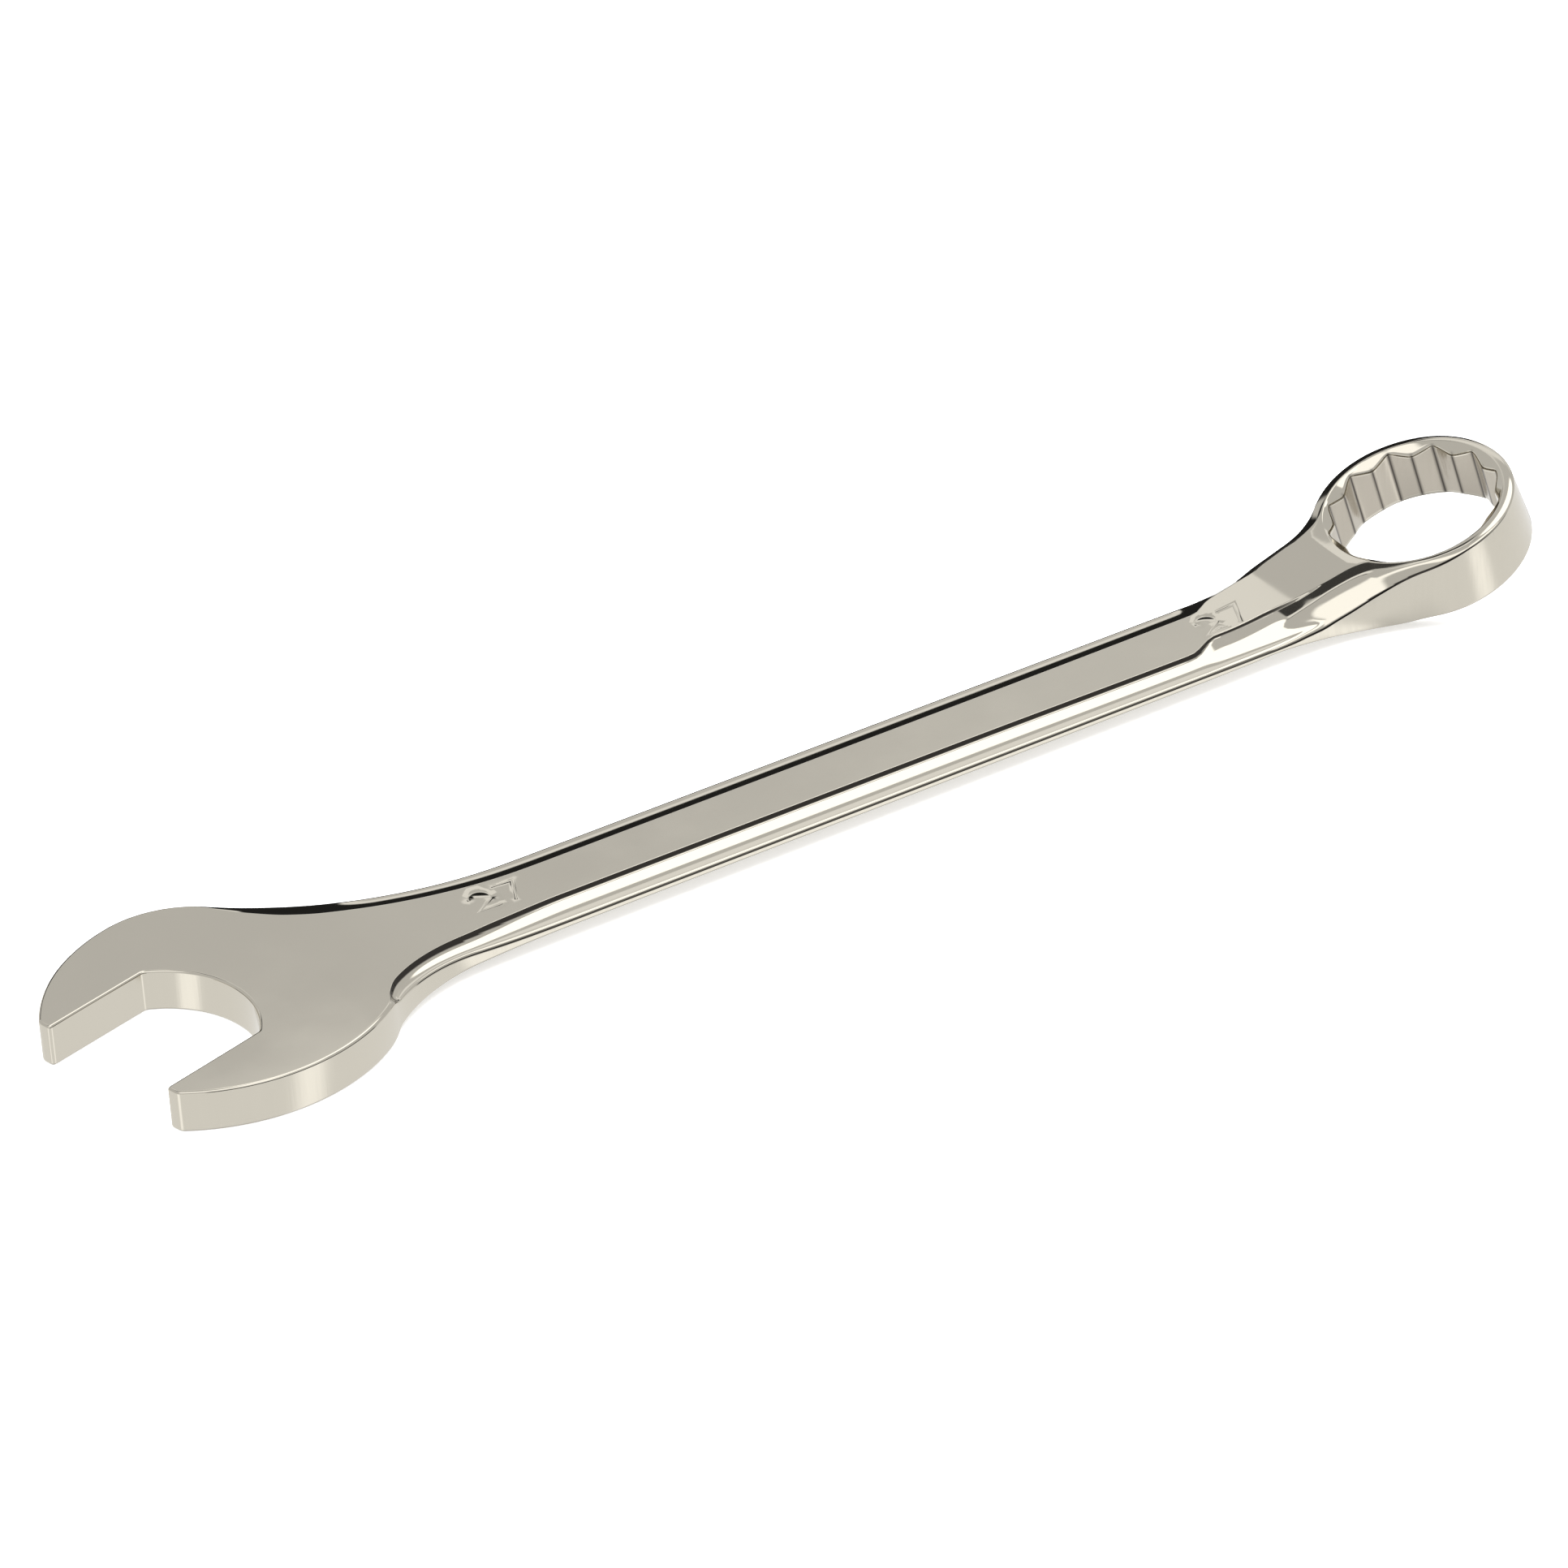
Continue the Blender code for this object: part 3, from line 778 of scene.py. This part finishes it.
def stretched_noise(tree, stretch, scale, detail):
    """Noise in the object's own space, stretched along one or more axes."""
    place = tree.nodes.new("ShaderNodeTexCoord")
    mapping = tree.nodes.new("ShaderNodeMapping")
    mapping.inputs["Scale"].default_value = stretch
    noise = tree.nodes.new("ShaderNodeTexNoise")
    noise.inputs["Scale"].default_value = scale
    noise.inputs["Detail"].default_value = detail
    tree.links.new(place.outputs["Object"], mapping.inputs["Vector"])
    tree.links.new(mapping.outputs["Vector"], noise.inputs["Vector"])
    return noise.outputs["Fac"]


def remap(tree, value, low, high, start=0.3, end=0.7):
    node = tree.nodes.new("ShaderNodeMapRange")
    node.inputs["From Min"].default_value = start
    node.inputs["From Max"].default_value = end
    node.inputs["To Min"].default_value = low
    node.inputs["To Max"].default_value = high
    tree.links.new(value, node.inputs["Value"])
    return node.outputs["Result"]


def add_bump(tree, shader, height, strength, distance):
    bump = tree.nodes.new("ShaderNodeBump")
    bump.inputs["Strength"].default_value = strength
    bump.inputs["Distance"].default_value = distance
    tree.links.new(height, bump.inputs["Height"])
    tree.links.new(bump.outputs["Normal"], shader.inputs["Normal"])


def chrome_with_painted_shade(name, colour):
    """Chrome with painted shade: its colour is darkened to near black where the mesh's painted
    shade attribute says so, in place of dark reflections and shade.
    """
    material, tree, shader = new_material(name)
    painted_shade = tree.nodes.new("ShaderNodeAttribute")
    painted_shade.attribute_name = "painted_shade_lines"
    tint = tree.nodes.new("ShaderNodeMix")
    tint.data_type = "RGBA"
    tint.inputs[6].default_value = colour
    tint.inputs[7].default_value = PAINTED_SHADE_COLOUR
    tree.links.new(painted_shade.outputs["Fac"], tint.inputs["Factor"])
    tree.links.new(tint.outputs[2], shader.inputs["Base Color"])
    shader.inputs["Metallic"].default_value = 1.0
    return material, tree, shader


def polished_chrome():
    """Mirror chrome with a cloudy polish and the painted shade lines."""
    material, tree, shader = chrome_with_painted_shade("polished_chrome", CHROME)
    clouds = stretched_noise(tree, (1.0, 1.0, 1.0), CLOUD_SCALE, 3.0)
    tree.links.new(remap(tree, clouds, *POLISH_ROUGHNESS), shader.inputs["Roughness"])
    return material


def grained_chrome(name, colour, roughness, scale, strength):
    """Chrome over ground or broached walls, with a fine upright grain and the painted shade lines.
    """
    material, tree, shader = chrome_with_painted_shade(name, colour)
    grain = stretched_noise(tree, GRAIN_STRETCH, scale, 2.0)
    tree.links.new(remap(tree, grain, *roughness), shader.inputs["Roughness"])
    add_bump(tree, shader, grain, strength, GRAIN_HEIGHT)
    return material


def build_wrench():
    mesh = forge_bar()
    place_on_frame(mesh)
    wrench = object_from("wrench", mesh)
    data = wrench.data
    ground = grained_chrome("ground_chrome", CHROME, GROUND_ROUGHNESS, **GROUND_GRAIN)
    broached = grained_chrome("broached_chrome", BORE_CHROME, BROACHED_ROUGHNESS, **BROACHED_GRAIN)
    for material in (polished_chrome(), ground, broached):
        data.materials.append(material)
    data.shade_smooth()
    data.set_sharp_from_angle(angle=SHARP_ANGLE)
    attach(wrench, "root")
    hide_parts("wrench_forging")


# Studio

STUDIO_RADIUS = 4.0
FLOOR_GLOW = 0.4
LAMP_HEIGHT = 2.5
LAMP_SIZE = 3.0
LAMP_POWER = 110.0
# Azimuth at which a slanted patch of the sky has its stated elevations
SLANT_AZIMUTH = 57.0


def object_from(name, mesh):
    """A new object in the scene, made from a bmesh that is then freed."""
    data = bpy.data.meshes.new(name)
    mesh.to_mesh(data)
    mesh.free()
    thing = bpy.data.objects.new(name, data)
    bpy.context.scene.collection.objects.link(thing)
    return thing


def build_floor():
    """A plain pale floor. Mirror rays pass it and see the sky below the horizon instead."""
    mesh = bmesh.new()
    bmesh.ops.create_circle(mesh, cap_ends=True, segments=96, radius=STUDIO_RADIUS)
    floor = object_from("studio_floor", mesh)
    material, _, shader = new_material("pale_floor")
    shader.inputs["Base Color"].default_value = (0.93, 0.93, 0.93, 1.0)
    shader.inputs["Roughness"].default_value = 1.0
    shader.inputs["Specular IOR Level"].default_value = 0.0
    shader.inputs["Emission Color"].default_value = (1.0, 1.0, 1.0, 1.0)
    shader.inputs["Emission Strength"].default_value = FLOOR_GLOW
    floor.data.materials.append(material)
    floor.visible_glossy = False


def build_backdrop():
    """A plain pale dome that only the camera sees."""
    mesh = bmesh.new()
    bmesh.ops.create_uvsphere(mesh, u_segments=48, v_segments=24, radius=STUDIO_RADIUS)
    dome = object_from("studio_backdrop", mesh)
    material = bpy.data.materials.new("backdrop_white")
    material.use_nodes = True
    tree = material.node_tree
    tree.nodes.clear()
    glow = tree.nodes.new("ShaderNodeEmission")
    glow.inputs["Color"].default_value = (1.0, 1.0, 1.0, 1.0)
    output = tree.nodes.new("ShaderNodeOutputMaterial")
    tree.links.new(glow.outputs["Emission"], output.inputs["Surface"])
    dome.data.materials.append(material)
    dome.visible_glossy = False
    dome.visible_diffuse = False
    dome.visible_shadow = False
    dome.visible_transmission = False


def unit(azimuth, elevation):
    """Unit vector at an azimuth from +X and an elevation, in degrees."""
    a = math.radians(azimuth)
    e = math.radians(elevation)
    return (math.cos(a) * math.cos(e), math.sin(a) * math.cos(e), math.sin(e))


class StudioSky:
    """World shader: a base tone with soft-edged boxes and discs of other tones laid over it."""

    def __init__(self):
        world = bpy.data.worlds.new("studio_light")
        world.use_nodes = True
        bpy.context.scene.world = world
        self.tree = world.node_tree
        self.tree.nodes.clear()
        place = self.tree.nodes.new("ShaderNodeTexCoord")
        self.direction = place.outputs["Generated"]
        split = self.tree.nodes.new("ShaderNodeSeparateXYZ")
        self.tree.links.new(self.direction, split.inputs["Vector"])
        self.elevation = self.degrees(self.math("ARCSINE", split.outputs["Z"]))
        self.azimuth = self.degrees(self.math("ARCTAN2", split.outputs["Y"], split.outputs["X"]))
        self.tone = None

    def math(self, operation, a, b=None):
        node = self.tree.nodes.new("ShaderNodeMath")
        node.operation = operation
        for socket, value in zip(node.inputs, (a, b)):
            if isinstance(value, (int, float)):
                socket.default_value = value
            elif value is not None:
                self.tree.links.new(value, socket)
        return node.outputs["Value"]

    def degrees(self, angle):
        return self.math("MULTIPLY", angle, 180 / math.pi)

    def step(self, value, start, end):
        """0 below start, 1 above end, smooth between them."""
        node = self.tree.nodes.new("ShaderNodeMapRange")
        node.interpolation_type = "SMOOTHSTEP"
        node.inputs["From Min"].default_value = min(start, end)
        node.inputs["From Max"].default_value = max(start, end)
        node.inputs["To Min"].default_value = 0.0 if start < end else 1.0
        node.inputs["To Max"].default_value = 1.0 if start < end else 0.0
        self.tree.links.new(value, node.inputs["Value"])
        return node.outputs["Result"]

    def lay(self, mask, tone):
        """Cover the tone so far with another one where the mask is 1."""
        node = self.tree.nodes.new("ShaderNodeMix")
        node.data_type = "FLOAT"
        self.tree.links.new(mask, node.inputs["Factor"])
        self.tree.links.new(self.tone, node.inputs[2])
        node.inputs[3].default_value = tone
        self.tone = node.outputs[0]

    def base(self, below, above, soft):
        node = self.tree.nodes.new("ShaderNodeMix")
        node.data_type = "FLOAT"
        self.tree.links.new(self.step(self.elevation, -soft, soft), node.inputs["Factor"])
        node.inputs[2].default_value = below
        node.inputs[3].default_value = above
        self.tone = node.outputs[0]

    def fade(self, elevations, tone):
        """Change smoothly to another tone between two elevations, and keep it beyond."""
        self.lay(self.step(self.elevation, elevations[0], elevations[1]), tone)

    def box(self, azimuths, elevations, tone, soft):
        """A patch between two azimuths and two elevations, in degrees."""
        self.slanted_box(azimuths, elevations, 0.0, tone, soft)

    def slanted_box(self, azimuths, elevations, slant, tone, soft):
        """The same, but its lower and upper edges rise with the azimuth."""
        level = self.math("MULTIPLY", self.math("SUBTRACT", self.azimuth, SLANT_AZIMUTH), -slant)
        level = self.math("ADD", level, self.elevation)
        sides = [
            self.step(self.azimuth, azimuths[0] - soft, azimuths[0] + soft),
            self.step(self.azimuth, azimuths[1] + soft, azimuths[1] - soft),
            self.step(level, elevations[0] - soft, elevations[0] + soft),
            self.step(level, elevations[1] + soft, elevations[1] - soft),
        ]
        mask = sides[0]
        for side in sides[1:]:
            mask = self.math("MULTIPLY", mask, side)
        self.lay(mask, tone)

    def disc(self, azimuth, elevation, radius, tone, soft):
        """A round patch about a direction."""
        node = self.tree.nodes.new("ShaderNodeVectorMath")
        node.operation = "DOT_PRODUCT"
        self.tree.links.new(self.direction, node.inputs[0])
        node.inputs[1].default_value = unit(azimuth, elevation)
        angle = self.degrees(self.math("ARCCOSINE", node.outputs["Value"]))
        self.lay(self.step(angle, radius + soft, radius - soft), tone)

    def finish(self):
        background = self.tree.nodes.new("ShaderNodeBackground")
        output = self.tree.nodes.new("ShaderNodeOutputWorld")
        colour = self.tree.nodes.new("ShaderNodeCombineColor")
        for channel in ("Red", "Green", "Blue"):
            self.tree.links.new(self.tone, colour.inputs[channel])
        self.tree.links.new(colour.outputs["Color"], background.inputs["Color"])
        self.tree.links.new(background.outputs["Background"], output.inputs["Surface"])


def build_sky():
    """What the mirror chrome sees. Azimuths, elevations, radii and softness are in degrees."""
    sky = StudioSky()
    sky.base(below=1.0, above=0.7, soft=3.0)
    # darker straight below
    sky.fade((-42, -75), 0.62)
    # behind the wrench: a lighter patch, a bright strip below it, a dark slot and a dark wall
    sky.box((30, 59), (29.5, 34), 0.81, 4.0)
    sky.box((30, 100), (22, 28.5), 1.05, 1.0)
    sky.box((66, 90), (22.5, 31), 0.02, 1.0)
    sky.box((50, 83), (-20, 22.5), 0.02, 1.4)
    # a low dark strip on the camera's side
    sky.box((-118, -18), (-12, 10), 0.02, 2.0)
    # the lit card that the panel shows at the bend
    sky.slanted_box((46, 75), (32.1, 40), 0.26, 1.08, 0.35)
    # overhead softboxes with gaps between them, and a large one above the camera
    sky.disc(30, 60, 17, 1.9, 1.0)
    sky.disc(-38, 60, 8, 1.8, 1.0)
    sky.disc(-55, 70, 11, 1.8, 1.0)
    sky.box((-165, -70), (38, 70), 1.6, 5.0)
    # low lamps that light up bands of the side walls
    sky.box((-68, -50), (-60, -18), 1.42, 6.0)
    sky.box((-174, -152), (-45, -18), 1.42, 4.0)
    # over the ring's neck: a dark flag, a lit card behind it, and a dark slat
    sky.disc(87, 57, 7.3, 0.06, 0.7)
    sky.box((72, 128), (64, 72.5), 1.15, 1.5)
    sky.box((60, 130), (73.6, 75.4), 0.1, 0.5)
    sky.finish()


def build_floor_light():
    """A large overhead lamp that lights the floor and gives the soft contact shadow."""
    light = bpy.data.lights.new("overhead", "AREA")
    light.shape = "SQUARE"
    light.size = LAMP_SIZE
    light.energy = LAMP_POWER
    lamp = bpy.data.objects.new("overhead", light)
    lamp.location = (0.0, 0.0, LAMP_HEIGHT)
    lamp.visible_camera = False
    lamp.visible_glossy = False
    bpy.context.scene.collection.objects.link(lamp)


# Camera

CAMERA_PLACE = Vector((-0.53566, -0.88469, 0.64700))
CAMERA_AZIMUTH = math.radians(-30.84)
CAMERA_ELEVATION = math.radians(31.89)
CAMERA_ROLL = math.radians(-3.27)
FOCAL_LENGTH = 167.7
SENSOR_WIDTH = 36.0


def build_camera():
    data = bpy.data.cameras.new("camera")
    data.lens = FOCAL_LENGTH
    data.sensor_width = SENSOR_WIDTH
    data.clip_start = 0.01
    camera = bpy.data.objects.new("camera", data)
    back = Vector((
        math.sin(CAMERA_AZIMUTH) * math.cos(CAMERA_ELEVATION),
        -math.cos(CAMERA_AZIMUTH) * math.cos(CAMERA_ELEVATION),
        math.sin(CAMERA_ELEVATION),
    ))
    turn = Quaternion(back, CAMERA_ROLL) @ back.to_track_quat("Z", "Y")
    camera.matrix_world = Matrix.Translation(CAMERA_PLACE) @ turn.to_matrix().to_4x4()
    bpy.context.scene.collection.objects.link(camera)
    bpy.context.scene.camera = camera


bpy.context.scene.view_settings.view_transform = "Standard"
build_wrench()
build_floor()
build_backdrop()
build_sky()
build_floor_light()
build_camera()
